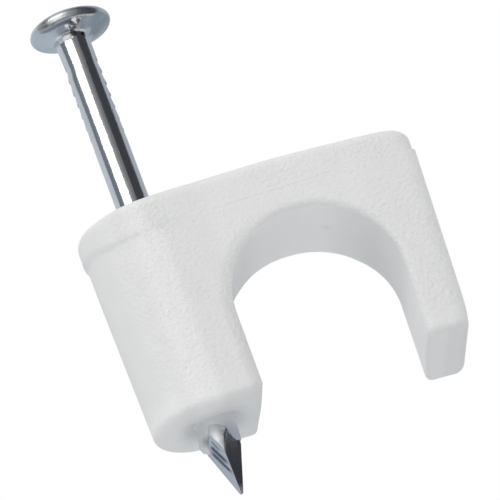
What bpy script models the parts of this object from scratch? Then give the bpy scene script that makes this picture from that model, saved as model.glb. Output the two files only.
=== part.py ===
"""A cable staple: a one-piece polyethylene clip that arches over one round cable, and the
steel wire nail that is driven through its thick leg into the wall.

The finished model is in metres, +Z up. The wall is the plane z = 0, the nail's axis is the
Z axis, and the cable runs along Y through the slot on the +X side of the nail. The sizes
below are in millimetres, and the last step of each piece turns it into metres."""

import math

import bmesh
import bpy
from mathutils import Matrix, Vector

METRES_PER_MM = 0.001

# The cable slot
CABLE_DIAMETER = 8.0
CABLE_CLEARANCE = 0.12  # on each side of the cable, between the legs

# The clip's body
BODY_DEPTH = 5.46  # along the cable
BRIDGE_HEIGHT = 2.82  # over the crown of the arch
NAIL_WALL = 1.3  # from the nail hole to the slot
END_WALL = 1.85  # from the nail hole to the rounded end
OUTER_LEG = 2.12
OUTER_CORNER = 0.78  # radius of the outer leg's upright corners
TOP_ROUND = 0.62
SHOULDER_REACH = 1.6  # along the top, where it rounds down to the outer end
SHOULDER_FALL = 0.2
EDGE_ROUND = 0.35  # along the slot and round both feet

# What the mould does to the body
BAND_HEIGHT = 1.72  # from the mould line up to the top, at the nail
MOULD_TILT = 0.7  # degrees, by which the mould line rises towards the outer end
MOULD_SHIFT = 0.12  # of the upper mould half, towards the rounded end
MOULD_LEDGE = 0.02  # half the height of the step that the shift leaves
FACE_DRAFT = 0.3  # degrees, on the front and the rear
END_DRAFT = 1.15  # degrees, on the rounded end
NAIL_LEG_DRAFT = 0.45  # degrees, on the nail leg's side of the slot
OUTER_LEG_DRAFT = 0.7  # degrees, on the outer end
TOE_IN = 2.45  # degrees, by which the outer leg leans in as the plastic cools
TOP_FALL = 2.25  # degrees, by which the top falls away over the outer leg
BEND_REACH = 1.5  # to each side of the slot's middle, where the lean builds up

# The nail
WIRE_DIAMETER = 1.63
NAIL_LENGTH = 25.0
POINT_REACH = 3.6  # how far the point stands out of the foot
HEAD_DIAMETER = 3.88
RIM_ROUND = 0.2  # half the thickness of the head's rim
RIM_WRAP = 80  # degrees, by which the rim turns in under the head
HEAD_SLOPE = 0.15  # the drop of the head's underside, from its rim to the neck
NECK_ROUND = 0.6
POINT_LENGTH = 2.36  # of the four-sided point, along the ridges at its sides
FRONT_RIDGE = 1.95  # length of the ridges at its front and rear
TIP_WIDTH = 0.16  # across the side ridges, where the point ends
POINT_TURN = -10.0  # degrees, from the front to the nearest ridge
GRIP_MARKS = 7
GRIP_PITCH = 0.64
GRIP_DEPTH = 0.07
GRIP_STEEP = 0.16  # height of a mark's steep upper side
GRIP_SLANT = 0.42  # height of its gentle lower side
GRIP_START = 1.0  # from the neck down to the first mark
GRIP_TURN = -10.0  # degrees, from the X axis to the marks

# The hole for the nail
NAIL_CLEARANCE = 0.2
SINK_RADIUS = 1.35  # the shallow sink round the nail, in the foot
SINK_DEPTH = 0.3
ENTRY_CHAMFER = 0.2

# Smoothness of the round surfaces
END_SEGMENTS = 40
ARCH_SEGMENTS = 48
CORNER_SEGMENTS = 8
ROUND_SEGMENTS = 4
BEND_SEGMENTS = 6
SHOULDER_SEGMENTS = 4
TURNED_SEGMENTS = 48

SHARP_ANGLE = math.radians(60)  # edges over this are rounded
SMOOTH_ANGLE = math.radians(35)  # edges under this are shaded smooth
MERGE_DISTANCE = 0.001
OVERSHOOT = 1.0  # how far a cutter runs past what it cuts

# Places that follow from the sizes
nail_radius = WIRE_DIAMETER / 2
hole_radius = nail_radius + NAIL_CLEARANCE
half_depth = BODY_DEPTH / 2
slot_radius = CABLE_DIAMETER / 2 + CABLE_CLEARANCE
rounded_end = -(hole_radius + END_WALL)
slot_near = hole_radius + NAIL_WALL
slot_middle = slot_near + slot_radius
slot_far = slot_middle + slot_radius
outer_end = slot_far + OUTER_LEG
crown = CABLE_DIAMETER
arch_spring = crown - slot_radius
body_height = crown + BRIDGE_HEIGHT
mould_line = body_height - BAND_HEIGHT
tip_height = -POINT_REACH
head_height = tip_height + NAIL_LENGTH
neck_top = head_height - 2 * RIM_ROUND - HEAD_SLOPE
neck_bottom = neck_top - NECK_ROUND


def clear_scene():
    for thing in list(bpy.data.objects):
        bpy.data.objects.remove(thing)


def slope(degrees):
    """How far a line at this angle goes sideways for each millimetre along."""
    return math.tan(math.radians(degrees))


def arc(centre, radius, start, end, segments):
    """Points along an arc with both ends, as pairs. The angles are in degrees."""
    angles = [math.radians(start + (end - start) * i / segments) for i in range(segments + 1)]
    return [(centre[0] + radius * math.cos(a), centre[1] + radius * math.sin(a)) for a in angles]


def add_prism(shape, corners, along):
    """Adds a closed prism: a flat outline drawn out by the vector along."""
    face = shape.faces.new([shape.verts.new(corner) for corner in corners])
    drawn = bmesh.ops.extrude_face_region(shape, geom=[face])
    moved = [item for item in drawn["geom"] if isinstance(item, bmesh.types.BMVert)]
    bmesh.ops.translate(shape, vec=along, verts=moved)


def prism(corners, along):
    shape = bmesh.new()
    add_prism(shape, corners, along)
    return shape


def turned(profile):
    """A body turned about the Z axis from (radius, height) pairs that start and end on it."""
    shape = bmesh.new()
    points = [shape.verts.new((radius, 0, height)) for radius, height in profile]
    edges = [shape.edges.new(pair) for pair in zip(points, points[1:])]
    bmesh.ops.spin(
        shape,
        geom=points + edges,
        cent=(0, 0, 0),
        axis=(0, 0, 1),
        angle=math.tau,
        steps=TURNED_SEGMENTS,
        use_merge=True,
    )
    bmesh.ops.remove_doubles(shape, verts=shape.verts, dist=MERGE_DISTANCE)
    return shape


def make_object(name, shape):
    bmesh.ops.recalc_face_normals(shape, faces=shape.faces)
    mesh = bpy.data.meshes.new(name)
    shape.to_mesh(mesh)
    shape.free()
    made = bpy.data.objects.new(name, mesh)
    bpy.context.scene.collection.objects.link(made)
    return made


def combine(target, tool, operation):
    """Applies a Boolean to the target, and uses the tool up."""
    boolean = target.modifiers.new(operation, "BOOLEAN")
    boolean.operation = operation
    boolean.solver = "EXACT"
    boolean.object = tool
    graph = bpy.context.evaluated_depsgraph_get()
    result = bpy.data.meshes.new_from_object(target.evaluated_get(graph))
    target.modifiers.clear()
    target.data = result
    bpy.data.objects.remove(tool)


def plan_outline():
    """The body seen from above: a half circle round the nail, and a square outer end."""
    nail_end = arc((rounded_end + half_depth, 0), half_depth, 90, 270, END_SEGMENTS)
    corner_x = outer_end - OUTER_CORNER
    corner_y = half_depth - OUTER_CORNER
    front = arc((corner_x, -corner_y), OUTER_CORNER, 270, 360, CORNER_SEGMENTS)
    rear = arc((corner_x, corner_y), OUTER_CORNER, 0, 90, CORNER_SEGMENTS)
    return [Vector((x, y, 0)) for x, y in nail_end + front + rear]


def slot_outline():
    """The slot seen from the front: an arch on straight sides, open at the bottom."""
    side = half_depth + OVERSHOOT
    arch = arc((slot_middle, arch_spring), slot_radius, 0, 180, ARCH_SEGMENTS)
    mouth = [(slot_near, -OVERSHOOT), (slot_far, -OVERSHOOT)]
    return [Vector((x, -side, z)) for x, z in arch + mouth]


def round_edges(shape):
    """Rounds the top more than the slot and the feet, which are every other sharp edge."""
    sharp = [edge for edge in shape.edges if edge.calc_face_angle(0) > SHARP_ANGLE]
    top = [edge for edge in sharp if min(v.co.z for v in edge.verts) > crown]
    rest = [edge for edge in sharp if edge not in top]
    for edges, radius in ((top, TOP_ROUND), (rest, EDGE_ROUND)):
        bmesh.ops.bevel(
            shape,
            geom=edges,
            offset=radius,
            offset_type="OFFSET",
            segments=ROUND_SEGMENTS,
            profile=0.5,
            affect="EDGES",
            clamp_overlap=False,
        )


def add_loops(shape):
    """Loops where the body steps at the mould line, bends over the slot and rounds down."""
    up = Vector((-slope(MOULD_TILT), 0, 1)).normalized()
    planes = [(Vector((0, 0, mould_line + side * MOULD_LEDGE)), up) for side in (-1, 1)]
    bend = [slot_middle + BEND_REACH * (2 * i / BEND_SEGMENTS - 1) for i in range(BEND_SEGMENTS + 1)]
    shoulder = [outer_end - SHOULDER_REACH * (1 - i / SHOULDER_SEGMENTS) for i in range(SHOULDER_SEGMENTS)]
    planes += [(Vector((x, 0, 0)), Vector((1, 0, 0))) for x in bend + shoulder]
    for point, normal in planes:
        everything = shape.verts[:] + shape.edges[:] + shape.faces[:]
        bmesh.ops.bisect_plane(shape, geom=everything, plane_co=point, plane_no=normal)


def between(x, walls):
    """The value at x along a chain of (x, value) pairs, in straight steps."""
    for (x0, value0), (x1, value1) in zip(walls, walls[1:]):
        if x <= x1:
            share = max(0, (x - x0) / (x1 - x0))
            return value0 + (value1 - value0) * share
    return walls[-1][1]


def as_moulded(point):
    """Where a point of the straight body lies once it has its draft, its mould step and its lean."""
    x, y, z = point
    line = mould_line + x * slope(MOULD_TILT)
    above = max(0, z - line)
    drafted = min(z, line) - above
    walls = [
        (rounded_end, -slope(END_DRAFT)),
        (slot_near, slope(NAIL_LEG_DRAFT)),
        (slot_far, 0),
        (outer_end, slope(OUTER_LEG_DRAFT)),
    ]
    new_x = x + drafted * between(x, walls)
    new_y = y * (1 + drafted * slope(FACE_DRAFT) / half_depth)
    if above > 0:
        new_x -= MOULD_SHIFT
    bend = min(1, max(0, (x - slot_middle) / (2 * BEND_REACH) + 0.5))
    eased = bend * bend * (3 - 2 * bend)
    new_x += (z - crown) * eased * slope(TOE_IN)
    shoulder = max(0, 1 - (outer_end - x) / SHOULDER_REACH)
    fall = max(0, x - slot_middle) * slope(TOP_FALL) + SHOULDER_FALL * shoulder ** 2
    return Vector((new_x, new_y, z - fall * above / (body_height - line)))


def hole_profile():
    """The nail's way through the leg, wider where it enters and where it leaves."""
    return [
        (0, body_height + OVERSHOOT),
        (hole_radius + ENTRY_CHAMFER + OVERSHOOT, body_height + OVERSHOOT),
        (hole_radius, body_height - ENTRY_CHAMFER),
        (hole_radius, SINK_DEPTH),
        (SINK_RADIUS, 0),
        (SINK_RADIUS, -OVERSHOOT),
        (0, -OVERSHOOT),
    ]


def build_clip_body():
    body = make_object("clip_body", prism(plan_outline(), Vector((0, 0, body_height))))
    slot = prism(slot_outline(), Vector((0, BODY_DEPTH + 2 * OVERSHOOT, 0)))
    combine(body, make_object("slot_cutter", slot), "DIFFERENCE")
    shape = bmesh.new()
    shape.from_mesh(body.data)
    round_edges(shape)
    add_loops(shape)
    for vertex in shape.verts:
        vertex.co = as_moulded(vertex.co)
    shape.to_mesh(body.data)
    shape.free()
    combine(body, make_object("hole_cutter", turned(hole_profile())), "DIFFERENCE")
    return body


def nail_profile():
    """Half of the nail before its point is cut, from the top of the head down."""
    head_radius = HEAD_DIAMETER / 2
    rim_centre = (head_radius - RIM_ROUND, head_height - RIM_ROUND)
    rim = arc(rim_centre, RIM_ROUND, 90, -RIM_WRAP, 2 * ROUND_SEGMENTS)
    neck_centre = (nail_radius + NECK_ROUND, neck_bottom)
    neck = arc(neck_centre, NECK_ROUND, 90, 180, ROUND_SEGMENTS)
    return [(0, head_height)] + rim + neck + [(nail_radius, tip_height), (0, tip_height)]


def point_die():
    """A four-sided taper that leaves the nail its diamond point."""
    slope = (nail_radius - TIP_WIDTH / 2) / POINT_LENGTH
    height = NAIL_LENGTH + OVERSHOOT
    depth = (1, POINT_LENGTH / FRONT_RIDGE, 1)
    shape = bmesh.new()
    bmesh.ops.create_cone(
        shape,
        cap_ends=True,
        segments=4,
        radius1=TIP_WIDTH / 2,
        radius2=TIP_WIDTH / 2 + slope * height,
        depth=height,
        matrix=Matrix.Translation((0, 0, tip_height + height / 2)),
    )
    bmesh.ops.scale(shape, vec=depth, verts=shape.verts)
    bmesh.ops.rotate(shape, matrix=Matrix.Rotation(math.radians(POINT_TURN), 3, "Z"), verts=shape.verts)
    return shape


def grip_wedges():
    """Wedges that press a row of slanted marks into each side of the shank."""
    shape = bmesh.new()
    for mark in range(GRIP_MARKS):
        top = neck_bottom - GRIP_START - mark * GRIP_PITCH
        for side in (-1, 1):
            outside = side * (nail_radius + GRIP_DEPTH)
            inside = side * (nail_radius - GRIP_DEPTH)
            deepest = top - GRIP_STEEP
            corners = [(outside, top), (inside, deepest), (outside, deepest - GRIP_SLANT)]
            points = [Vector((x, -nail_radius, z)) for x, z in corners]
            add_prism(shape, points, Vector((0, WIRE_DIAMETER, 0)))
    bmesh.ops.rotate(shape, matrix=Matrix.Rotation(math.radians(GRIP_TURN), 3, "Z"), verts=shape.verts)
    return shape


def build_nail():
    nail = make_object("nail", turned(nail_profile()))
    combine(nail, make_object("point_die", point_die()), "INTERSECT")
    combine(nail, make_object("grip_wedges", grip_wedges()), "DIFFERENCE")
    return nail


def finish(piece, colour, roughness, metallic):
    """Turns a piece into metres, shades it smooth between its edges and gives it its material."""
    piece.data.transform(Matrix.Scale(METRES_PER_MM, 4))
    piece.data.shade_smooth()
    piece.data.set_sharp_from_angle(angle=SMOOTH_ANGLE)
    material = bpy.data.materials.new(piece.name)
    material.use_nodes = True
    shader = material.node_tree.nodes["Principled BSDF"]
    shader.inputs["Base Color"].default_value = (*colour, 1)
    shader.inputs["Roughness"].default_value = roughness
    shader.inputs["Metallic"].default_value = metallic
    piece.data.materials.clear()
    piece.data.materials.append(material)


clear_scene()
finish(build_clip_body(), colour=(0.80, 0.80, 0.79), roughness=0.5, metallic=0.0)
finish(build_nail(), colour=(0.62, 0.64, 0.67), roughness=0.22, metallic=1.0)
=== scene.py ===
"""Dresses the cable staple in the looks of the photograph.

The clip's body and its nail are made again here, finer than the solids and in the same places:
milky polyethylene with a spark-eroded grain, and a bright zinc-plated wire nail. The sizes are in
millimetres, and the last step of each piece turns it into metres."""

import math

import bmesh
import bpy
from mathutils import Matrix, Vector, noise


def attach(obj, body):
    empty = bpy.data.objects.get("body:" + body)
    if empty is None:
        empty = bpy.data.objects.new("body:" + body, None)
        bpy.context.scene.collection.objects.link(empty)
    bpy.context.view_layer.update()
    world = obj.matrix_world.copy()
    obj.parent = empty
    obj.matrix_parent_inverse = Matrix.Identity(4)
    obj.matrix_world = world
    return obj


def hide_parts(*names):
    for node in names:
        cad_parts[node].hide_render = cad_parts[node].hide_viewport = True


METRES_PER_MM = 0.001

# The clip's body, as in the solid
BODY_DEPTH = 5.46
BODY_HEIGHT = 10.82
ROUNDED_END = -2.865
SLOT_NEAR = 2.315
SLOT_RADIUS = 4.12
CROWN = 8.0
OUTER_LEG = 2.12
OUTER_CORNER = 0.78
REAR_CORNER = 0.5  # the photograph shows it sharper than the front one
TOP_ROUND = 0.62
EDGE_ROUND = 0.35
BAND_HEIGHT = 1.72
MOULD_TILT = 0.7
MOULD_SHIFT = 0.12
MOULD_LEDGE = 0.02
FACE_DRAFT = 0.299  # a hair less than the solid's, to stay inside it
END_DRAFT = 1.15
NAIL_LEG_DRAFT = 0.45
OUTER_LEG_DRAFT = 0.7
TOE_IN = 2.45
TOP_FALL = 2.25
BEND_REACH = 1.5
SHOULDER_REACH = 1.6
SHOULDER_FALL = 0.3  # the photograph shows it a little steeper than the solid's

# What the photograph shows besides
FOOT_TUCK = 0.2  # by which the outer end curls in at the foot
TUCK_HEIGHT = 1.6
TUCK_START = 0.6  # from the slot's far side
STEP_BLUR = 0.26  # how far the mould's step is washed out at the round end
STEP_BLUR_END = 0.8
STEP_SAG = 0.1
STEP_SAG_REACH = 1.2  # on either side of the nail
STEP_LIFT = 0.32
FAR_END = -1.6  # where the step starts to lift, on its way to the round end
CREASE_DEPTH = 0.06  # by which the body draws in under that step, round the nail
CREASE_REACH = 1.8
CREASE_EDGE = 0.22
CREASE_FADE = (0.2, 2.6)
FAR_CREASE = 0.6  # the share of the crease that is lost at the round end
REAR_SPREAD = 0.1  # by which the slot opens towards the rear
REAR_START = -0.5
FAR_SIDE_REACH = 1.2
NEAR_SIDE_REACH = 1.5
LOW_SPREAD = 0.4  # the share that the near side opens further at the foot
LOW_HEIGHT = 2
ARCH_SPREAD = 0.15  # and the left of its arch, there
ARCH_REACH = 1.4
ARCH_START = 0.2
# Up from the arch's left end, in degrees: where that opening sets in, eases and ends
ARCH_RISE = (-5, 25)
ARCH_EASE = (60, 95)
ARCH_FADE = (150, 185)
ARCH_EASED = 0.7
FOOT_DROP = 0.05  # by which the outer foot hangs lower at its end
TOP_CAMBER = 0.065  # the top stands that much higher in the middle
CAMBER_MIDDLE = 5
CAMBER_CURVE = 0.0016
END_FALL = 0.1  # and lower at the round end
END_FALL_FADE = (-1.6, 0.4)
END_FALL_RISE = (-2.9, -1.9)
TOP_BAND = (9.4, 10.8)  # the heights over which the top's own form sets in
LEG_CROWN = 0.02  # the nail leg's front is a little barrelled
CROWN_START = -0.3
CROWN_MIDDLE = 1.1
CROWN_FADE = 5
HOLE_CLEARANCE = 0.012
DISH_DEPTH = 0.12
# Round the nail, by angle: the dish that it pulled into the foot, and the lip it pushed out
DISH_EDGE = [
    (-180, 1.40), (-160, 1.38), (-120, 1.0), (-96, 0.9), (-66, 1.12),
    (-43, 1.24), (-21, 1.30), (35, 1.5), (90, 1.5), (180, 1.4),
]
LIP_EDGE = [
    (-180, 1.3), (-165, 1.02), (-148, 0.8), (-134, 0.6), (-115, 0.28), (-98, 0.32), (-70, 0.54),
    (-58, 0.86), (-45, 1.02), (-24, 1.16), (0, 1.1), (40, 0.7), (90, 0.5), (140, 1.0), (180, 1.3),
]
# The dish's section: the share of its reach, and of its depth
DISH_SECTION = [
    (0.3, 1), (0.55, 0.8), (0.75, 0.5), (0.92, 0.2), (1.05, -0.05), (1.2, -0.3), (1.2, -8),
]
LIP_FLARE = 0.2  # the lip stands off the nail at one side
FLARE_ANGLE = 160
LIP_ROOT = 0.62  # how far up the lip reaches into the leg, to join it
TEAR_DEPTH = 0.05
DISH_WAVE = 0.04

# The nail, as in the solid
NAIL_RADIUS = 0.815
TIP_HEIGHT = -3.6
HEAD_HEIGHT = 21.4
HEAD_RADIUS = 1.94
RIM_ROUND = 0.2
RIM_WRAP = 80
HEAD_SLOPE = 0.15
NECK_ROUND = 0.6
POINT_LENGTH = 2.36
FRONT_RIDGE = 1.95
TIP_WIDTH = 0.16
POINT_TURN = -10.0
GRIP_MARKS = 7
GRIP_PITCH = 0.64
GRIP_DEPTH = 0.07
GRIP_START = 1.0
GRIP_TURN = -10.0

# What the photograph shows of it besides
GRIP_BURR = 0.012
SHALLOW_GRIPS = (2.5, 5.5)  # the marks between which the bite grows shallow
SHALLOW_SHARE = 0.65
NECKING = 0.035  # the share by which the shank is thinner next to the head
NECKING_RISE = (18.4, 19.2)
POINT_LEAN = 0.03
POINT_BLEND = 0.04
HEAD_ASIDE = 0.09
HEAD_TILT = 1.17
NECK_START = 20.33
NECK_SEEN = 0.36
NECK_WRAP = 110
# By how much the rim is fatter, by angle round the head
RIM_SWELL = [
    (-180, 0), (-152, 0.02), (-128, 0.085), (-100, 0.07), (-80, 0.075),
    (-58, 0.1), (-42, 0.06), (-25, 0.01), (0, 0), (180, 0),
]
# How much further the head reaches, by angle
HEAD_SPREAD = [
    (-180, -0.02), (-155, 0), (-115, 0.09), (-60, 0.1), (-20, 0.03), (10, 0), (180, -0.02),
]
# Two burrs under the head: place, width, reach and depth
HEAD_BURRS = [(0.2, -1.57, 0.17, 0.1, 0.17), (-0.19, -1.24, 0.11, 0.09, 0.13)]
BURR_RISE = (0.1, 0.4)

# How finely the pieces are cut
EDGE_SEGMENTS = 8
HOLE_SEGMENTS = 120
SHARP_EDGE = 60  # the straight body's edges that turn by more are rounded
LOOP_STEP = 0.55  # between the loops that keep the body's faces small
LEDGE_LOOPS = 12
LEDGE_STEP = 0.08
LEDGE_START = -0.44
POINT_STEP = 0.035
POINT_STEPS = 100
BARE_START = 0.2
BARE_STEP = 0.7
BARE_STEPS = 21
GRIP_STEP = 0.03
# Round the nail, in degrees from the turn of its point: fine in front, coarse behind
FINE_START, FINE_STEP, FINE_STEPS = -125, 0.9, 89
COARSE_START, COARSE_STEP, COARSE_STEPS = -45, 2.25, 125

# Painted shade and painted dark reflections under the head, at the neck and beside the first
# burr: place and radius
PAINTED_DARK_SPOTS = [
    (0.03, -0.95, 20.6, 0.2), (0.1, -0.87, 20.52, 0.16),
    (0.48, -0.73, 20.49, 0.15), (0.03, -1.56, 20.77, 0.15),
]
# Painted highlights there, on the burrs and round the neck: place, radius, where each starts and
# is full, and its strength
PAINTED_HIGHLIGHTS = [
    (0.16, -1.73, 20.84, 0.2, 0.25, 0.5, 1),
    (-0.21, -1.41, 20.78, 0.16, 0.2, 0.5, 1),
    (-0.05, -0.82, 20.4, 0.1, 0.2, 0.5, 1),
    (-0.6, -0.6, 20.55, 0.3, 0, 0.6, 0.8),
    (0.76, -0.62, 20.58, 0.36, 0, 0.8, 0.4),
]
NECK_CREASE = 20.36  # the height of the crease under the head, where shade is painted
RIM_SHADOW = 1.67  # the distance from the axis of the shade painted under the rim
# Scrapes on the point: place, lean, half width, top, end and strength
POINT_SCRAPES = [
    (0.435, 0.12, 0.11, -1.12, -2.05, 1),
    (0.285, 0.1, 0.1, -1.4, -2.5, 1),
    (0.62, 0.05, 0.07, -0.95, -1.4, 0.7),
]
# How deep the grain of each surface is
PLASTIC_RELIEF = 0.056
ZINC_RELIEF = 0.013

# The camera, worked out from the photograph
CAMERA_PLACE = Vector((-0.047086, -0.296297, -0.123764))
CAMERA_AZIMUTH = -9.849
CAMERA_ELEVATION = -23.631
CAMERA_ROLL = 20.804
CAMERA_LENS = 514.87
SENSOR = 36.0

FLOOR_HEIGHT = -0.2
FLOOR_COLOUR = (0.785, 0.795, 0.81)
LAMP_TARGET = Vector((5, 0, 6))
# The soft light: where it comes from, to the right, the back and up, and how strong it is
SOFT_BEAMS = [
    ((-1, 0, 1), 0.97), ((0, 0, 1), 0.80), ((0, -1, 1), 0.28),
    ((1, -1, 0), 0.80), ((1, 0, 0), 0.38), ((1, 1, 0), 0.48),
]
BEAM_FOCUS = 6

# Of a Mix node's sockets, the ones for colours
MIX_FIRST, MIX_SECOND, MIX_RESULT = 6, 7, 2

half_depth = BODY_DEPTH / 2
slot_middle = SLOT_NEAR + SLOT_RADIUS
slot_far = slot_middle + SLOT_RADIUS
outer_end = slot_far + OUTER_LEG
arch_spring = CROWN - SLOT_RADIUS
mould_line = BODY_HEIGHT - BAND_HEIGHT
neck_top = HEAD_HEIGHT - 2 * RIM_ROUND - HEAD_SLOPE
neck_bottom = neck_top - NECK_ROUND
grips_top = neck_bottom - GRIP_START


def slope(degrees):
    return math.tan(math.radians(degrees))


def ease(value, start, end):
    """0 before start, 1 after end, and a smooth step between them."""
    share = min(1, max(0, (value - start) / (end - start)))
    return share * share * (3 - 2 * share)


def peak(value, middle, reach):
    """1 at the middle, falling evenly to 0 at that reach on either side."""
    return max(0, 1 - abs(value - middle) / reach)


def arc(centre, radius, start, end, segments):
    angles = [math.radians(start + (end - start) * i / segments) for i in range(segments + 1)]
    return [(centre[0] + radius * math.cos(a), centre[1] + radius * math.sin(a)) for a in angles]


def by_angle(angle, table):
    """A length read off a table of angles in degrees, smoothed between them."""
    degrees = (math.degrees(angle) + 180) % 360 - 180
    for (start, first), (end, second) in zip(table, table[1:]):
        if degrees <= end:
            return first + (second - first) * ease(degrees, start, end)
    return table[-1][1]


def make_object(name, shape):
    bmesh.ops.recalc_face_normals(shape, faces=shape.faces)
    mesh = bpy.data.meshes.new(name)
    shape.to_mesh(mesh)
    shape.free()
    made = bpy.data.objects.new(name, mesh)
    bpy.context.scene.collection.objects.link(made)
    return made


def combine(target, tool, operation):
    """Applies a Boolean to the target, and uses the tool up."""
    boolean = target.modifiers.new(operation, "BOOLEAN")
    boolean.operation = operation
    boolean.solver = "EXACT"
    boolean.object = tool
    graph = bpy.context.evaluated_depsgraph_get()
    result = bpy.data.meshes.new_from_object(target.evaluated_get(graph))
    target.modifiers.clear()
    target.data = result
    bpy.data.objects.remove(tool)


def prism(corners, along):
    shape = bmesh.new()
    face = shape.faces.new([shape.verts.new(corner) for corner in corners])
    drawn = bmesh.ops.extrude_face_region(shape, geom=[face])
    moved = [item for item in drawn["geom"] if isinstance(item, bmesh.types.BMVert)]
    bmesh.ops.translate(shape, vec=along, verts=moved)
    return shape


def ringed(rows, segments, closed):
    """A skin over rings of points, closed on itself or else capped at both ends."""
    shape = bmesh.new()
    rings = [[shape.verts.new(point) for point in row] for row in rows]
    pairs = list(zip(rings, rings[1:]))
    if closed:
        pairs.append((rings[-1], rings[0]))
    for lower, upper in pairs:
        for i in range(segments):
            j = (i + 1) % segments
            shape.faces.new((lower[i], lower[j], upper[j], upper[i]))
    if not closed:
        shape.faces.new(rings[0])
        shape.faces.new(rings[-1])
    return shape


def plan_outline():
    nail_end = arc((ROUNDED_END + half_depth, 0), half_depth, 90, 270, 72)
    front = arc((outer_end - OUTER_CORNER, OUTER_CORNER - half_depth), OUTER_CORNER, 270, 360, 14)
    rear = arc((outer_end - REAR_CORNER, half_depth - REAR_CORNER), REAR_CORNER, 0, 90, 10)
    return [Vector((x, y, 0)) for x, y in nail_end + front + rear]


def slot_outline():
    side = half_depth + 1
    arch = arc((slot_middle, arch_spring), SLOT_RADIUS, 0, 180, 96)
    mouth = [(SLOT_NEAR, -1), (slot_far, -1)]
    return [Vector((x, -side, z)) for x, z in arch + mouth]


def round_edges(shape):
    sharp = [e for e in shape.edges if e.calc_face_angle(0) > math.radians(SHARP_EDGE)]
    top = [edge for edge in sharp if min(v.co.z for v in edge.verts) > CROWN]
    rest = [edge for edge in sharp if edge not in top]
    for edges, radius in ((top, TOP_ROUND), (rest, EDGE_ROUND)):
        bmesh.ops.bevel(
            shape,
            geom=edges,
            offset=radius,
            offset_type="OFFSET",
            segments=EDGE_SEGMENTS,
            profile=0.5,
            material=-1,
            affect="EDGES",
            clamp_overlap=False,
        )


def add_loops(shape):
    """Loops along the mould line, and a fine net of them over the whole body."""
    up = Vector((-slope(MOULD_TILT), 0, 1)).normalized()
    ledges = [-MOULD_LEDGE, MOULD_LEDGE]
    ledges += [LEDGE_STEP * i + LEDGE_START for i in range(LEDGE_LOOPS)]
    planes = [(Vector((0, 0, mould_line + ledge)), up) for ledge in ledges]
    reaches = ((0, ROUNDED_END, outer_end), (2, 0, BODY_HEIGHT), (1, -half_depth, half_depth))
    for axis, start, end in reaches:
        for i in range(1, int((end - start) / LOOP_STEP) + 1):
            place, way = Vector(), Vector()
            place[axis], way[axis] = start + LOOP_STEP * i, 1
            planes.append((place, way))
    for point, normal in planes:
        everything = shape.verts[:] + shape.edges[:] + shape.faces[:]
        bmesh.ops.bisect_plane(shape, geom=everything, plane_co=point, plane_no=normal)


def wall_draft(x):
    """How far the walls at this place lean along x for each millimetre of height."""
    walls = [
        (ROUNDED_END, -slope(END_DRAFT)),
        (SLOT_NEAR, slope(NAIL_LEG_DRAFT)),
        (slot_far, 0),
        (outer_end, slope(OUTER_LEG_DRAFT)),
    ]
    for (x0, draft0), (x1, draft1) in zip(walls, walls[1:]):
        if x <= x1:
            share = max(0, (x - x0) / (x1 - x0))
            return draft0 + (draft1 - draft0) * share
    return walls[-1][1]


def slot_opening(x, y, z):
    """How far this place moves along x, as the slot's sides stand further apart at the rear."""
    rear = REAR_SPREAD * ease(y, REAR_START, half_depth) * (z < CROWN)
    sides = peak(x, slot_far, FAR_SIDE_REACH) - peak(x, SLOT_NEAR, NEAR_SIDE_REACH)
    low = max(0, 1 - z / LOW_HEIGHT) * peak(x, SLOT_NEAR, 1)
    return rear * sides - LOW_SPREAD * rear * low


def arch_opening(x, y, z):
    """How far this place moves outwards, as the arch opens to its left towards the rear."""
    outward = Vector((x - slot_middle, 0, z - arch_spring))
    turn = math.degrees(math.atan2(outward.z, -outward.x))
    spread = ease(turn, *ARCH_RISE) * (1 - ARCH_EASED * ease(turn, *ARCH_EASE))
    spread *= 1 - ease(turn, *ARCH_FADE)
    near = max(0, 1 - max(0, outward.length - SLOT_RADIUS) / ARCH_REACH)
    outward *= ARCH_SPREAD * ease(y, ARCH_START, half_depth) * spread * near / outward.length
    return outward


def crease(x, y, z, step, far_end):
    """The share by which the body draws in towards the nail, under the mould's step."""
    under = CREASE_DEPTH * (1 - FAR_CREASE * far_end) * (1 - ease(x, *CREASE_FADE))
    under *= 1 - ease(z, step - CREASE_EDGE, step + CREASE_EDGE)
    return under * peak(min(z, step), step, CREASE_REACH) / max(0.1, math.hypot(min(x, 0), y))


def moulded_height(x, z, line):
    """The height once the top has its fall and its camber, and the outer foot its drop."""
    shoulder = max(0, 1 - (outer_end - x) / SHOULDER_REACH)
    fall = max(0, x - slot_middle) * slope(TOP_FALL) + SHOULDER_FALL * shoulder ** 2
    end_fall = END_FALL * (1 - ease(x, *END_FALL_FADE)) * ease(x, *END_FALL_RISE)
    camber = TOP_CAMBER - CAMBER_CURVE * (x - CAMBER_MIDDLE) ** 2 - end_fall
    height = z - fall * max(0, z - line) / (BODY_HEIGHT - line) + camber * ease(z, *TOP_BAND)
    return height - FOOT_DROP * ease(x, slot_far, outer_end) * max(0, 1 - z)


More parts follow.
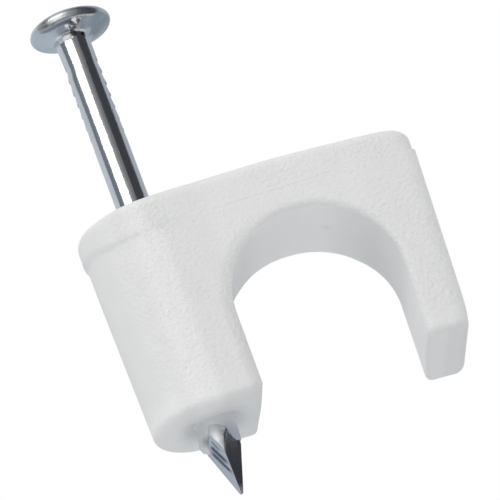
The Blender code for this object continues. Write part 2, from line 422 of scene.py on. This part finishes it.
def as_moulded(point):
    """Where a point of the straight body lies, with its draft, its mould step and its lean."""
    x, y, z = point
    line = mould_line + x * slope(MOULD_TILT)
    drafted = min(z, line) - max(0, z - line)
    far_end = 1 - ease(x, ROUNDED_END, FAR_END)
    sag = STEP_SAG * (1 - ease(x, -STEP_SAG_REACH, STEP_SAG_REACH))
    step = line - sag + STEP_LIFT * far_end
    ledge = MOULD_LEDGE + STEP_BLUR * (1 - ease(x, ROUNDED_END, STEP_BLUR_END))
    new_x = x + drafted * wall_draft(x) - MOULD_SHIFT * ease(z, step - ledge, step + ledge)
    new_x += slot_opening(x, y, z)
    crown = LEG_CROWN * (min(max(x, CROWN_START), SLOT_NEAR) - CROWN_MIDDLE) ** 2
    crown *= 1 - ease(x, SLOT_NEAR, CROWN_FADE)
    new_y = y * (1 + (drafted * slope(FACE_DRAFT) - crown) / half_depth)
    under = crease(x, y, z, step, far_end)
    new_x -= under * min(x, 0)
    new_y -= under * y
    bend = ease(x, slot_middle - BEND_REACH, slot_middle + BEND_REACH)
    new_x += (z - CROWN) * bend * slope(TOE_IN)
    tuck = ease(x, slot_far + TUCK_START, outer_end) * max(0, 1 - z / TUCK_HEIGHT) ** 2
    new_x -= FOOT_TUCK * tuck
    return Vector((new_x, new_y, moulded_height(x, z, line))) + arch_opening(x, y, z)


def hole_cutter():
    """The nail's tight way through the leg, with a shallow dish round it in the foot."""
    bore = NAIL_RADIUS + HOLE_CLEARANCE
    upper = [
        (0.01, BODY_HEIGHT + 1),
        (bore + 1.15, BODY_HEIGHT + 1),
        (bore + 0.12, BODY_HEIGHT - 0.03),
        (bore, BODY_HEIGHT - 0.16),
        (bore, DISH_DEPTH + 0.04),
    ]
    rows = [[] for _ in upper + DISH_SECTION]
    for i in range(HOLE_SEGMENTS):
        a = math.tau * i / HOLE_SEGMENTS
        aside = Vector((math.cos(a), math.sin(a), 0))
        reach = by_angle(a, DISH_EDGE) + noise.noise(aside * 3) * DISH_WAVE - bore
        dish = [(bore + reach * share, DISH_DEPTH * depth) for share, depth in DISH_SECTION]
        for row, (radius, height) in zip(rows, upper + dish):
            row.append((radius * math.cos(a), radius * math.sin(a), height))
    return ringed(rows, HOLE_SEGMENTS, closed=False)


def collar_shape():
    """The lip of plastic that the nail pushed out ahead of it, torn unevenly round its edge."""
    rows = [[] for _ in range(10)]
    for i in range(HOLE_SEGMENTS):
        a = math.tau * i / HOLE_SEGMENTS
        aside = Vector((math.cos(a), math.sin(a), 0))
        torn = noise.noise(aside * 4) * TEAR_DEPTH
        torn += noise.noise(aside * 11 + Vector((5, 0, 0))) * TEAR_DEPTH
        drop = by_angle(a, LIP_EDGE) + torn
        flare = LIP_FLARE * max(0, math.cos(a - math.radians(FLARE_ANGLE))) ** 8
        section = [
            (0.32, LIP_ROOT),
            (0.28, 0.2),
            (0.18, 0.1),
            (0.13, 0),
            (0.105 + flare * 0.4, -drop * 0.4),
            (0.08 + flare * 0.9, -drop * (0.85 - flare)),
            (0.045 + flare * 0.6, -drop * (1 - flare * 0.6)),
            (-0.004, -drop),
            (-0.008, -drop * 0.8),
            (-0.008, LIP_ROOT),
        ]
        for row, (thickness, height) in zip(rows, section):
            nail = NAIL_RADIUS if height > 0 else min(NAIL_RADIUS, point_radius(a, height))
            row.append(aside * (nail + thickness) + Vector((0, 0, height)))
    return ringed(rows, HOLE_SEGMENTS, closed=True)


def build_body():
    body = make_object("moulded_clip", prism(plan_outline(), Vector((0, 0, BODY_HEIGHT))))
    slot = prism(slot_outline(), Vector((0, BODY_DEPTH + 2, 0)))
    combine(body, make_object("slot_cutter", slot), "DIFFERENCE")
    shape = bmesh.new()
    shape.from_mesh(body.data)
    round_edges(shape)
    add_loops(shape)
    for vertex in shape.verts:
        vertex.co = as_moulded(vertex.co)
    shape.to_mesh(body.data)
    shape.free()
    combine(body, make_object("hole_cutter", hole_cutter()), "DIFFERENCE")
    combine(body, make_object("collar", collar_shape()), "UNION")
    return body


def point_radius(angle, height):
    """How far the four-sided point reaches from the axis in this direction."""
    rise = (NAIL_RADIUS - TIP_WIDTH / 2) / POINT_LENGTH
    side = TIP_WIDTH / 2 + rise * (height - TIP_HEIGHT)
    ahead = side * POINT_LENGTH / FRONT_RIDGE
    turned_by = angle - math.radians(POINT_TURN)
    return 1 / (abs(math.cos(turned_by)) / side + abs(math.sin(turned_by)) / ahead)


def grip_radius(angle, height):
    """The shank's radius among the slanted marks that held the wire while it was headed."""
    along = (grips_top - height) / GRIP_PITCH
    if not 0 <= along < GRIP_MARKS:
        return NAIL_RADIUS
    share = along % 1
    nearest = max(math.cos(angle - math.radians(GRIP_TURN + side)) for side in (0, 180))
    bite = 1 - SHALLOW_SHARE * ease(along, *SHALLOW_GRIPS)
    depth = bite * GRIP_DEPTH * (1 - share)
    burr = bite * GRIP_BURR * share ** 3 * ease(nearest, 0.75, 1)
    return min(NAIL_RADIUS, (NAIL_RADIUS - depth) / max(nearest, 0.2)) + burr


def blended_least(first, second, width):
    """The lesser of two lengths, with the corner between them rounded off."""
    gap = max(0, width - abs(first - second)) / width
    return min(first, second) - gap * gap * width / 4


def shank_heights():
    """Close together on the point and among the grip marks, and far apart between them."""
    marks_end = grips_top - GRIP_MARKS * GRIP_PITCH
    heights = [TIP_HEIGHT + POINT_STEP * i for i in range(POINT_STEPS)]
    heights += [BARE_START + BARE_STEP * i for i in range(BARE_STEPS)]
    heights = [h for h in heights if h < marks_end - 0.02]
    marked = int((grips_top - marks_end) / GRIP_STEP) + 2
    return heights + [marks_end + GRIP_STEP * i for i in range(marked)]


def shank_rows(angles):
    rows = []
    for height in shank_heights():
        necked = NECKING * ease(height, *NECKING_RISE)
        lean = POINT_LEAN * ease(-height, 1, -TIP_HEIGHT) + 0.6 * necked
        row = []
        for angle in angles:
            radius = grip_radius(angle, height) * (1 - necked)
            if height < 0:
                radius = blended_least(radius, point_radius(angle, height), POINT_BLEND)
            row.append((radius * math.cos(angle) + lean, radius * math.sin(angle), height))
        rows.append(row)
    return rows


def askew(x, y, z):
    """Where a point of the head lies, as the head was struck a little off the wire's axis."""
    share = ease(z, neck_bottom, neck_top)
    sag = 0
    for burr_x, burr_y, width, reach, depth in HEAD_BURRS:
        away = math.hypot((x - burr_x) / width, (y - burr_y) / reach)
        sag += depth * math.exp(-away * away) * ease(HEAD_HEIGHT - z, *BURR_RISE)
    tilted = min(HEAD_HEIGHT, z - x * slope(HEAD_TILT) * share)
    return (x + HEAD_ASIDE * share, y, tilted - sag)


def head_section(rim_round, spread):
    """Half the head's section, from the neck over a rim as round and as wide as that."""
    reach = HEAD_RADIUS + spread
    neck = arc((NAIL_RADIUS + NECK_SEEN, NECK_START), NECK_SEEN, 180, NECK_WRAP, 12)
    rim = arc((reach - rim_round, HEAD_HEIGHT - rim_round), rim_round, -RIM_WRAP, 90, 20)
    inner, outer = Vector(neck[-1]), Vector(rim[0])
    under = [tuple(inner.lerp(outer, i / 30)) for i in range(1, 30)]
    top = [(HEAD_RADIUS - 0.3 - 0.3 * i, HEAD_HEIGHT) for i in range(1, 5)]
    return neck + under + rim + top


def head_rows(angles):
    rows = [[] for _ in head_section(RIM_ROUND, 0)]
    for angle in angles:
        rim_round = RIM_ROUND + by_angle(angle, RIM_SWELL)
        section = head_section(rim_round, by_angle(angle, HEAD_SPREAD))
        for row, (radius, height) in zip(rows, section):
            row.append(askew(radius * math.cos(angle), radius * math.sin(angle), height))
    return rows


def build_nail():
    """The nail, cut finer on the side that the photograph shows."""
    degrees = [POINT_TURN + FINE_START + FINE_STEP * i for i in range(FINE_STEPS)]
    degrees += [POINT_TURN + COARSE_START + COARSE_STEP * i for i in range(COARSE_STEPS)]
    angles = [math.radians(turn) for turn in degrees]
    shape = ringed(shank_rows(angles) + head_rows(angles), len(angles), closed=False)
    return make_object("zinc_nail", shape)


class Socket:
    """A value at each point of a surface. Sums with it are written with the usual signs."""

    def __init__(self, nodes, output):
        self.nodes = nodes
        self.output = output

    def maths(self, operation, *others):
        values = dict(enumerate((self, *others)))
        return self.nodes.add("ShaderNodeMath", {"operation": operation}, values)

    def __add__(self, other):
        return self.maths("ADD", other)

    def __sub__(self, other):
        return self.maths("SUBTRACT", other)

    def __rsub__(self, other):
        return self.nodes.add("ShaderNodeMath", {"operation": "SUBTRACT"}, {0: other, 1: self})

    def __mul__(self, other):
        return self.maths("MULTIPLY", other)

    __radd__ = __add__
    __rmul__ = __mul__

    def size(self):
        return self.maths("ABSOLUTE")

    def larger(self, other):
        return self.maths("MAXIMUM", other)

    def smaller(self, other):
        return self.maths("MINIMUM", other)

    def rise(self, start, end, low=0, high=1):
        """low before start, high after end, and smooth between them."""
        return self.nodes.add(
            "ShaderNodeMapRange",
            {"interpolation_type": "SMOOTHSTEP"},
            {"Value": self, "From Min": start, "From Max": end, "To Min": low, "To Max": high},
        )

    def fade(self, start, end):
        """1 before start, 0 after end, and smooth between them."""
        return self.rise(start, end, 1, 0)


def length(across, along):
    return (across * across + along * along).maths("SQRT")


class Nodes:
    """The nodes of a material or of the world."""

    def __init__(self, tree):
        self.tree = tree

    def add(self, kind, settings, values, output=0):
        """A node of that kind: its settings first, then the values or links of its sockets."""
        made = self.tree.nodes.new(kind)
        for name, setting in settings.items():
            setattr(made, name, setting)
        self.plug(made, values)
        return Socket(self, made.outputs[output])

    def plug(self, made, values):
        """Sets or links a node's sockets. A plain colour is written without its alpha."""
        for name, value in values.items():
            place = made.inputs[name]
            if isinstance(value, Socket):
                self.tree.links.new(value.output, place)
            else:
                place.default_value = (*value, 1) if place.type == "RGBA" else value

    def axes(self, place):
        return [self.add("ShaderNodeSeparateXYZ", {}, {0: place}, axis) for axis in "XYZ"]

    def mix(self, share, first, second):
        values = {"Factor": share, MIX_FIRST: first, MIX_SECOND: second}
        return self.add("ShaderNodeMix", {"data_type": "RGBA"}, values, MIX_RESULT)

    def layered(self, colour, layers):
        """The colour, with others laid over it one by one, each in its own share."""
        for share, laid in layers:
            colour = self.mix(share, colour, laid)
        return colour


class Surface(Nodes):
    """A material, and the places on the object that its textures are laid out by."""

    def __init__(self, name):
        self.material = bpy.data.materials.new(name)
        self.material.use_nodes = True
        super().__init__(self.material.node_tree)
        metres = self.add("ShaderNodeTexCoord", {}, {}, "Object")
        values = {"Vector": metres, "Scale": 1 / METRES_PER_MM}
        self.place = self.add("ShaderNodeVectorMath", {"operation": "SCALE"}, values)
        self.x, self.y, self.z = self.axes(self.place)

    def stretched(self, x, y, z):
        return self.add("ShaderNodeMapping", {}, {"Vector": self.place, "Scale": (x, y, z)})

    def noise(self, scale, detail=2, place=None):
        values = {"Vector": place or self.place, "Scale": scale, "Detail": detail}
        return self.add("ShaderNodeTexNoise", {}, values)

    def cells(self, scale):
        values = {"Vector": self.place, "Scale": scale}
        return self.add("ShaderNodeTexVoronoi", {"feature": "SMOOTH_F1"}, values)

    def spot(self, x, y, z, radius):
        """1 at a point of the surface, falling to 0 at that radius."""
        values = {0: self.place, 1: (x, y, z)}
        away = self.add("ShaderNodeVectorMath", {"operation": "DISTANCE"}, values, "Value")
        return away.fade(0, radius)

    def from_axis(self):
        """The distance from the nail's axis."""
        return length(self.x, self.y)

    def bump(self, height, relief):
        values = {"Strength": 1, "Distance": relief * METRES_PER_MM, "Height": height}
        return self.add("ShaderNodeBump", {}, values)

    def shade(self, values):
        self.plug(self.tree.nodes["Principled BSDF"], values)
        return self.material


def clip_relief(plastic, face, from_slot):
    """The spark-eroded grain of the faces, the mould's fine ridge and the arch's soft rim."""
    x, z, across = plastic.x, plastic.z, plastic.y.size()
    depth = x.rise(-2.2, -0.5, 0.62, 1) * x.rise(0, 1.8, 1, 0.6)
    depth = depth + x.rise(4, 7) * z.rise(8.8, 9.8) * 0.25
    depth = depth + x.rise(8.5, 10) * z.rise(7, 8.5, 0.3, 0)
    depth = depth * z.rise(0.3, 2, 0.6, 1)
    grain = plastic.noise(8.5) * 0.9 - plastic.cells(5.6) * 0.9
    ridge = (z - x * slope(MOULD_TILT) - mould_line).size().fade(0, 0.06) * face
    ridge = ridge * x.rise(2.5, 4.5) * x.rise(8.2, 9.6, 1, 0.25)
    soft_rim = from_slot.fade(0, 0.65) * x.fade(3.2, 5.6) * across.rise(2.3, 2.6)
    return grain * face * depth + plastic.noise(3) * 0.12 + ridge * 0.25 - soft_rim * 2.1


def clip_tint(plastic, arch_x, arch_z):
    """Milky white, with light and shade painted over it: a lighter band down the nail leg, darker
    beside it, by the arch and on the outer leg, lighter low on the round end, lighter and darker
    patches in the arch, and greyer round the nail's exit and on its torn lip.
    """
    x, z, across = plastic.x, plastic.z, plastic.y.size()
    # A painted highlight: a lighter band down the nail leg's front.
    painted_sheen_band = x.rise(-1.5, -0.6) * (x + z.rise(8.6, 9.6, 0, 0.5)).fade(0.05, 0.7)
    # Painted light low on the round end.
    painted_light_low_end = x.fade(-1.9, -1) * z.fade(0.5, 1.6)
    # Painted shade on the rest of the nail leg and the round end.
    painted_shade_on_leg = x.fade(2.2, 3.2) * (1 - painted_sheen_band) * (1 - painted_light_low_end)
    # Painted shade beside the arch's edge on the nail leg.
    edge = x.rise(1.55, 2.1) * x.fade(2.3, 2.6) * z.fade(3.5, 5.5)
    # Painted shade on the outer leg's front.
    outer = x.rise(9.6, 11) * z.rise(-0.2, 0.6)
    # Painted light and shade in the arch: lighter on its ceiling and on the outer leg's lower
    # inner wall, darker at the ceiling's right end and at the outer leg's foot.
    ceiling = length(arch_x, arch_z).fade(4.2, 4.4) * across.fade(2.4, 2.65)
    inner_wall = x.rise(9.9, 10.4) * x.fade(10.9, 11.3) * z.fade(2.5, 4)
    under_end = x.rise(9, 10.4) * z.fade(0.1, 0.5)
    from_nail = plastic.from_axis()
    # Painted shade round the nail's exit, in the dish and beyond it.
    painted_shade_round_nail = from_nail.fade(0.98, 2.1) * z.fade(0.12, 0.3)
    lip = from_nail.fade(0.95, 1.16) * z.fade(-0.35, 0.1)
    # The lip's grey is painted shade: lighter on its left, darker to the right and darkest and
    # bluest low down, with a painted shadow low on its left where it meets the nail.
    painted_lip_shade = plastic.mix(z.rise(-0.85, -0.05), (0.4, 0.43, 0.49), (0.62, 0.64, 0.665))
    torn = plastic.mix(x.rise(-0.5, 0.5), (0.66, 0.675, 0.69), painted_lip_shade)
    torn = plastic.mix(plastic.spot(-0.72, -0.36, -0.84, 0.42), torn, (0.34, 0.36, 0.39))
    milky = plastic.mix(plastic.noise(0.9), (0.775, 0.775, 0.765), (0.815, 0.815, 0.81))
    layers = [
        (painted_sheen_band, (0.84, 0.84, 0.832)),
        (painted_light_low_end * 0.35, (0.88, 0.88, 0.87)),
        (painted_shade_on_leg * 0.18 + edge * 0.2 + outer * 0.13, (0.65, 0.65, 0.645)),
        (ceiling * x.rise(3.6, 5) * x.fade(7.4, 9.2), (0.875, 0.87, 0.86)),
        (ceiling * x.rise(9, 9.9) * 0.3, (0.65, 0.65, 0.65)),
        (inner_wall * across.rise(2.4, 2.65, 0.6, 0), (0.9, 0.89, 0.88)),
        (under_end * 0.3, (0.65, 0.65, 0.66)),
        # A spot of painted shade on the arch's ceiling.
        (plastic.spot(8, -0.22, 7.7, 0.4) * 0.16, (0.5, 0.5, 0.49)),
        (painted_shade_round_nail * 0.75, (0.65, 0.665, 0.68)),
        (lip, torn),
    ]
    return plastic.layered(milky, layers)


def clip_surface():
    plastic = Surface("milky_polyethylene")
    across = plastic.y.size()
    face = across.rise(2.35, 2.62).larger(across.rise(1.5, 2.4) * plastic.x.fade(-0.6, 0))
    arch_x, arch_z = plastic.x - slot_middle, plastic.z - arch_spring
    from_slot = length(arch_x, arch_z.larger(0)) - SLOT_RADIUS
    return plastic.shade({
        "Base Color": clip_tint(plastic, arch_x, arch_z),
        "Roughness": face.rise(0, 1, 0.34, 0.5) + plastic.noise(2) * 0.06,
        "Normal": plastic.bump(clip_relief(plastic, face, from_slot), PLASTIC_RELIEF),
        "IOR": 1.5,
    })


def point_scrapes(zinc, ahead):
    """Three scrapes down the point's left facet, each fading out at its end."""
    drag = zinc.noise(9) * 0.05 + ahead
    scrapes = 0
    for place, lean, half_width, top, end, strength in POINT_SCRAPES:
        off = (drag + zinc.z * lean - (place + top * lean)).size()
        tall = zinc.z.fade(top - 0.1, top + 0.12) * zinc.z.rise(end - 0.3, end + 0.15)
        scrapes = scrapes + off.fade(0, half_width) * tall * strength
    return scrapes


def nail_surface():
    """Bright zinc, drawn along the shank and scraped on the point, with shade, highlights and a
    brown reflection painted on and under the head.
    """
    zinc = Surface("zinc_plate")
    x, y, z = zinc.x, zinc.y, zinc.z
    spot, from_axis = zinc.spot, zinc.from_axis()
    turn = math.radians(POINT_TURN)
    ahead = x * math.sin(turn) - y * math.cos(turn)
    aside = x * math.cos(turn) + y * math.sin(turn)
    on_point = z.fade(-1, -0.6) * from_axis.fade(0.76, 0.8)
    left = aside.fade(-0.06, 0.02) * on_point
    right = aside.rise(-0.02, 0.06) * on_point * z.rise(-3.5, -3.1)
    dulled = (ahead - 0.37).size().fade(0.08, 0.22) * z.fade(-1.3, -1.1) * z.rise(-2.3, -1.9)
    tongue = z.fade(-1.22, -1) * from_axis.rise(0.76, 0.8)
    tip = z.fade(-3.5, -3.1) * aside.rise(-0.02, 0.04)
    rubbed = z.fade(-0.1, 0.1) * from_axis.rise(0.77, 0.81) * aside.fade(0.1, 0.22)

    under_head = z.rise(neck_bottom, neck_top + 0.1)
    # Painted shade in the crease where the shank meets the head.
    painted_crease_shade = (z - NECK_CREASE).size().fade(0.02, 0.1)
    painted_crease_shade = painted_crease_shade * spot(-0.37, -0.75, NECK_CREASE, 0.55).rise(0, 0.3)
    front_left = x.fade(-0.1, 0.25) * y.fade(-1.15, -0.8) * under_head
    # Painted shade in a ring under the rim, on its front left.
    painted_rim_shade = (from_axis - RIM_SHADOW).size().fade(0.02, 0.17) * front_left
    # Painted shade on the neck's fillet, on its left.
    fillet = z.rise(NECK_CREASE, NECK_CREASE + 0.08)
    fillet = fillet * from_axis.fade(0.87, 0.93) * x.fade(-0.2, 0)
    shaded = spot(1.2, 0.28, 20.7, 0.7).rise(0, 0.7)
    # A painted brown reflection on the rim's front left.
    painted_brown_reflection = spot(-1.25, -1.4, 21.05, 0.62).rise(0, 0.6)
    painted_brown_reflection = painted_brown_reflection.larger(spot(-0.9, -1.68, 20.94, 0.3).rise(0, 0.6))
    # Painted dark spots: shade and dark reflections under the head.
    painted_dark_spots = sum(spot(*place) for place in PAINTED_DARK_SPOTS)
    # Painted highlights under the head, white and hardly metallic.
    painted_highlights = sum(
        spot(*place).rise(start, full) * strength
        for *place, start, full, strength in PAINTED_HIGHLIGHTS
    ).smaller(1)
    layers = [
        (right, (0.45, 0.46, 0.5)),
        (left * dulled * 0.6, (0.34, 0.38, 0.43)),
        (tongue * 0.6, (0.36, 0.38, 0.4)),
        (painted_crease_shade * 0.75, (0.14, 0.16, 0.19)),
        (painted_rim_shade * 0.85, (0.23, 0.245, 0.27)),
        (painted_dark_spots.rise(0.1, 0.5), (0.13, 0.13, 0.14)),
        (painted_highlights, (0.95, 0.95, 0.95)),
        (fillet * 0.4, (0.28, 0.3, 0.33)),
        (shaded * 0.45, (0.38, 0.41, 0.44)),
        (painted_brown_reflection * 0.6, (0.33, 0.31, 0.29)),
        (left * point_scrapes(zinc, ahead), (0.08, 0.1, 0.135)),
    ]
    plate = zinc.mix(zinc.noise(1.8, 3), (0.60, 0.62, 0.65), (0.70, 0.71, 0.73))
    drawn = zinc.noise(5, 3, zinc.stretched(1, 1, 0.04))
    calm = 1 - (on_point + z.rise(21.25, 21.36)) * 0.7
    return zinc.shade({
        "Base Color": zinc.layered(plate, layers),
        "Roughness": under_head * 0.14 + drawn * 0.12 + rubbed * 0.36 + 0.08,
        "Normal": zinc.bump((drawn * 0.5 + zinc.noise(11) * 0.3) * calm, ZINC_RELIEF),
        "Metallic": 1 - painted_highlights * 0.9 - tip * 0.28,
    })


def finish(piece, material, node, crease_angle):
    """Turns a piece into metres, shades it, and lets it stand for its solid.

    Edges that turn by more than the crease angle stay sharp."""
    piece.data.transform(Matrix.Scale(METRES_PER_MM, 4))
    piece.data.shade_smooth()
    piece.data.set_sharp_from_angle(angle=math.radians(crease_angle))
    piece.data.materials.clear()
    piece.data.materials.append(material)
    weighted = piece.modifiers.new("weighted", "WEIGHTED_NORMAL")
    weighted.keep_sharp = True
    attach(piece, "root")
    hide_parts(node)


def soft_light(x, y, z):
    """Soft light out of six directions, each fading to nothing on its opposite side."""
    light = 0
    for (right, back, up), strength in SOFT_BEAMS:
        reach = math.sqrt(right * right + back * back + up * up)
        along = x * (right / reach) + y * (back / reach) + z * (up / reach)
        light = light + ((along + 1) * 0.5).maths("POWER", BEAM_FOCUS) * strength
    return light


def mirrored_cards(studio, x, y, z):
    """What the metal mirrors: grey surroundings, and cards that stand round the object."""
    around = x.maths("ARCTAN2", y * -1) * math.degrees(1)  # 0 is the front
    low = studio.mix(x.rise(-0.5, 0.5), (0.60, 0.68, 0.75), (0.285, 0.34, 0.385))
    level = studio.mix(x.rise(-0.4, 0.4), (0.53, 0.58, 0.63), (0.47, 0.51, 0.57))
    high = studio.mix(x.rise(-0.4, 0.4), (0.70, 0.74, 0.79), (0.50, 0.54, 0.60))
    behind = x.rise(-0.05, 0.2) * y.rise(0.6, 0.8) * z.rise(-0.2, -0.1) * z.fade(0.1, 0.2)
    below = z.fade(-0.93, -0.8) * x.rise(-0.15, 0).larger(y.fade(0.08, 0.22))
    dark = studio.mix(x.rise(-0.3, 0.1), (0.20, 0.185, 0.17), (0.12, 0.125, 0.135))
    grey = studio.mix(around.rise(-2, 26), (0.37, 0.365, 0.355), (0.2, 0.2, 0.2))
    cards = [
        (-106, -66, 5, z.rise(-0.8, -0.7) * z.fade(-0.12, 0), (0.20, 0.19, 0.18)),
        (-62, -14, 4, z.rise(-0.8, -0.65) * z.fade(0.1, 0.3), (1.3, 1.28, 1.25)),
        (-98.5, -60.5, 4, z.rise(0.2, 0.35), (0.20, 0.23, 0.265)),
        (-12, 25, 6, z.rise(-0.9, -0.6), grey),
        (26, 91, 4, z.rise(-0.97, -0.9), (0.055, 0.058, 0.066)),
    ]
    layers = [
        (z.rise(-0.25, 0.1), studio.mix(z.rise(0.1, 0.36), level, high)),
        (behind, (0.46, 0.49, 0.53)),
        (below, dark),
    ]
    for start, end, soft, tall, colour in cards:
        card = around.rise(start - soft, start + soft) * around.fade(end - soft, end + soft)
        layers.append((card * tall, colour))
    return studio.layered(low, layers)


def light_studio():
    """White where the camera looks, soft light all round, and cards for the metal to mirror."""
    world = bpy.data.worlds.new("studio")
    bpy.context.scene.world = world
    world.use_nodes = True
    studio = Nodes(world.node_tree)
    x, y, z = studio.axes(studio.add("ShaderNodeTexCoord", {}, {}, "Generated"))
    camera, through, glossy = (
        studio.add("ShaderNodeLightPath", {}, {}, f"Is {kind} Ray")
        for kind in ("Camera", "Transmission", "Glossy")
    )
    lit = studio.mix(glossy, soft_light(x, y, z), mirrored_cards(studio, x, y, z))
    colour = studio.mix(camera.larger(through), lit, (1, 1, 1))
    studio.plug(world.node_tree.nodes["Background"], {"Color": colour, "Strength": 1})


def add_softbox(name, around, above, distance, size, power):
    """A soft lamp that looks at the clip from that angle round it, 0 being the front."""
    a, e = math.radians(around), math.radians(above)
    aim = Vector((math.sin(a) * math.cos(e), -math.cos(a) * math.cos(e), math.sin(e)))
    lamp = bpy.data.lights.new(name, "AREA")
    lamp.shape = "RECTANGLE"
    lamp.size, lamp.size_y = size
    lamp.energy = power
    made = bpy.data.objects.new(name, lamp)
    made.location = LAMP_TARGET * METRES_PER_MM + aim * distance
    made.rotation_euler = aim.to_track_quat("Z", "Y").to_euler()
    bpy.context.scene.collection.objects.link(made)


def lay_floor():
    """A pale floor, well below the camera, which looks up at the clip."""
    shape = bmesh.new()
    bmesh.ops.create_grid(shape, x_segments=1, y_segments=1, size=2)
    floor = make_object("floor", shape)
    floor.data.transform(Matrix.Translation((0, 0, FLOOR_HEIGHT)))
    material = bpy.data.materials.new("floor")
    material.use_nodes = True
    pale = Nodes(material.node_tree)
    pale.plug(pale.tree.nodes["Principled BSDF"], {"Base Color": FLOOR_COLOUR, "Roughness": 0.9})
    floor.data.materials.append(material)
    floor.visible_glossy = False


def set_camera():
    a, e = math.radians(CAMERA_AZIMUTH), math.radians(CAMERA_ELEVATION)
    right = Vector((math.cos(a), math.sin(a), 0))
    ahead = Vector((-math.sin(a) * math.cos(e), math.cos(a) * math.cos(e), -math.sin(e)))
    up = right.cross(ahead)
    roll = math.radians(CAMERA_ROLL)
    x_axis = math.cos(roll) * right - math.sin(roll) * up
    y_axis = math.sin(roll) * right + math.cos(roll) * up
    camera = bpy.data.objects.new("camera", bpy.data.cameras.new("camera"))
    camera.matrix_world = Matrix((x_axis, y_axis, -ahead)).transposed().to_4x4()
    camera.location = CAMERA_PLACE
    camera.data.lens = CAMERA_LENS
    camera.data.sensor_width = SENSOR
    camera.data.clip_start = 0.01
    camera.data.clip_end = 20
    bpy.context.scene.collection.objects.link(camera)
    bpy.context.scene.camera = camera


def corners(box):
    return [list(corner) for corner in box]


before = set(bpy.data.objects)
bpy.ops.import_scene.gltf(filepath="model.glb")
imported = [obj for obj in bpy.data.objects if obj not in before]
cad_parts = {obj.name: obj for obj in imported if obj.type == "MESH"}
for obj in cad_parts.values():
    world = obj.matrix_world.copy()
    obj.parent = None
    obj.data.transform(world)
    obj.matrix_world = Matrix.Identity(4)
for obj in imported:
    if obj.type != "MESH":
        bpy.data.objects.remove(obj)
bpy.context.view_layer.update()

finish(build_body(), clip_surface(), "clip_body", crease_angle=38)
finish(build_nail(), nail_surface(), "nail", crease_angle=62)
lay_floor()
light_studio()
add_softbox("key", around=-34.7, above=26, distance=0.5, size=(0.39, 0.18), power=0.57)
set_camera()
bpy.context.scene.view_settings.view_transform = "Standard"
